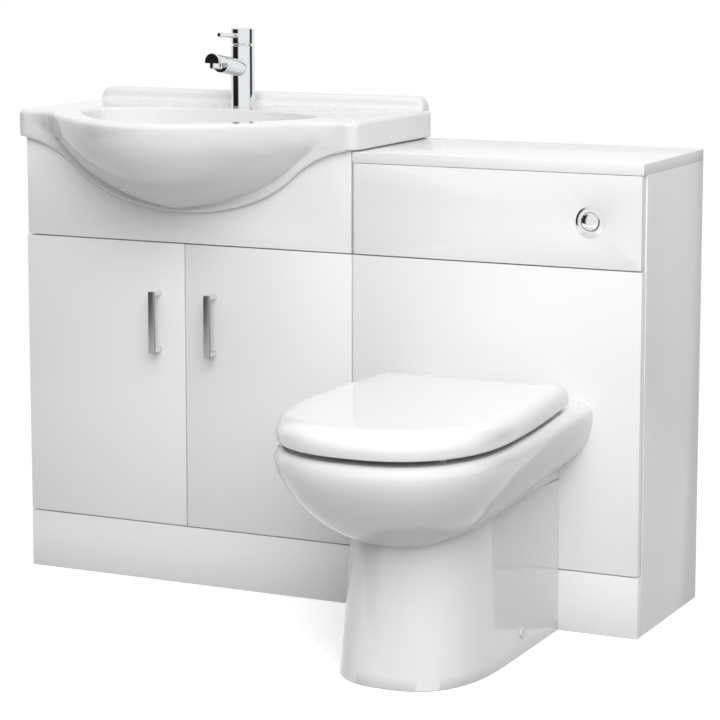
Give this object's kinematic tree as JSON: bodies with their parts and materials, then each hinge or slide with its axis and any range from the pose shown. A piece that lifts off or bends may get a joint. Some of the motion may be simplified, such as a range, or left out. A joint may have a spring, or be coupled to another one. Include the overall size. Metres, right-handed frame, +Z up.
{
  "type": "toilet and basin combination unit",
  "caption": "White vanity unit with a semi-recessed basin, mixer tap and two doors, joined to a toilet unit with a concealed cistern, push button and back-to-wall pan with seat and lid.",
  "frame": {"origin": "middle of the footprint of the whole unit with its lid closed, on the floor", "axes": "+X to the right as seen from the front, +Y towards the wall, +Z up"},
  "size_m": [1.1376, 0.832, 0.94],
  "materials": {
    "board_white": "smooth white foil with a soft gloss",
    "ceramic_white": "glazed, high gloss",
    "chrome": "polished chrome plate",
    "satin_metal": "satin grey metal",
    "zinc_steel": "zinc-plated steel",
    "seat_plastic": "gloss white thermoset",
    "plastic_white": "moulded white plastic",
    "rubber_dark": "black rubber"
  },
  "bodies": {
    "unit": {"vanity_left_side": "board_white", "vanity_right_side": "board_white", "vanity_base": "board_white", "vanity_back_rails": "board_white", "vanity_front_rail": "board_white", "vanity_fascia": "board_white", "vanity_plinth": "board_white", "hinge_arms": "zinc_steel", "door_bumpers": "plastic_white", "joining_bolts": "zinc_steel", "basin": "ceramic_white", "overflow_ring": "chrome", "basin_waste": "chrome", "waste_washer": "rubber_dark", "waste_nut": "zinc_steel", "bottle_trap": "plastic_white", "waste_pipe": "plastic_white", "tap_body": "chrome", "tap_spout": "chrome", "tap_aerator": "zinc_steel", "tap_stud": "zinc_steel", "tap_nut": "zinc_steel", "tap_cartridge": "plastic_white", "wc_left_side": "board_white", "wc_right_side": "board_white", "wc_back_rails": "board_white", "wc_front_rail": "board_white", "wc_worktop": "board_white", "wc_upper_panel": "board_white", "wc_lower_panel": "board_white", "wc_plinth": "board_white", "cistern_tank": "plastic_white", "cistern_cover": "plastic_white", "flush_tower": "plastic_white", "fill_valve": "plastic_white", "flush_pipe": "plastic_white", "flush_cone": "rubber_dark", "pan_connector": "plastic_white", "button_bezel": "chrome", "pan": "ceramic_white", "pan_fixing_caps": "plastic_white", "seat_hinge_posts": "chrome"},
    "left_door": {"left_door": "board_white", "left_handle": "satin_metal", "left_handle_screws": "zinc_steel", "left_hinge_cups": "zinc_steel"},
    "right_door": {"right_door": "board_white", "right_handle": "satin_metal", "right_handle_screws": "zinc_steel", "right_hinge_cups": "zinc_steel"},
    "tap_swivel": {"tap_spindle": "zinc_steel"},
    "tap_lever": {"tap_cap": "chrome"},
    "waste_plug": {"waste_plug": "chrome"},
    "flush_button": {"flush_button": "chrome"},
    "flush_valve": {"flush_plunger": "rubber_dark"},
    "float": {"float_arm": "plastic_white"},
    "seat_lid": {"seat_lid": "seat_plastic", "lid_buffers": "plastic_white"},
    "seat_ring": {"seat_ring": "seat_plastic", "ring_buffers": "plastic_white"}
  },
  "joints": [
    {"name": "left_door_hinge", "type": "hinge", "parent": "unit", "child": "left_door", "pos_m": [-0.55025, 0.1285, 0.344], "axis": [0, 0, -1], "range_deg": [0, 95]},
    {"name": "right_door_hinge", "type": "hinge", "parent": "unit", "child": "right_door", "pos_m": [0.06275, 0.1285, 0.344], "axis": [0, 0, 1], "range_deg": [0, 95]},
    {"name": "tap_turn", "type": "hinge", "parent": "unit", "child": "tap_swivel", "pos_m": [-0.24375, 0.336, 0.926], "axis": [0, 0, 1], "range_deg": [-50, 50]},
    {"name": "tap_lift", "type": "hinge", "parent": "tap_swivel", "child": "tap_lever", "pos_m": [-0.24375, 0.336, 0.926], "axis": [-1, 0, 0], "range_deg": [0, 18]},
    {"name": "plug_lift", "type": "slide", "parent": "unit", "child": "waste_plug", "axis": [0, 0, 1], "range_m": [0, 0.008]},
    {"name": "button_press", "type": "slide", "parent": "unit", "child": "flush_button", "axis": [0, 1, 0], "range_m": [0, 0.008], "stiffness_N_per_m": 400, "springref_m": -0.004},
    {"name": "valve_lift", "type": "slide", "parent": "unit", "child": "flush_valve", "axis": [0, 0, 1], "range_m": [0, 0.012]},
    {"name": "float_swing", "type": "hinge", "parent": "unit", "child": "float", "pos_m": [0.44775, 0.328, 0.559], "axis": [0, 1, 0], "range_deg": [0, 25]},
    {"name": "seat_lid_hinge", "type": "hinge", "parent": "unit", "child": "seat_lid", "pos_m": [0.31875, 0.051, 0.39499], "axis": [-1, 0, 0], "range_deg": [0, 95]},
    {"name": "seat_ring_hinge", "type": "hinge", "parent": "unit", "child": "seat_ring", "pos_m": [0.31875, 0.051, 0.39499], "axis": [-1, 0, 0], "range_deg": [0, 90.25]}
  ],
  "couplings": [
    {"joint": "valve_lift", "follows": "button_press", "ratio": 1.5},
    {"joint": "seat_ring_hinge", "follows": "seat_lid_hinge", "ratio": 0.95}
  ]
}
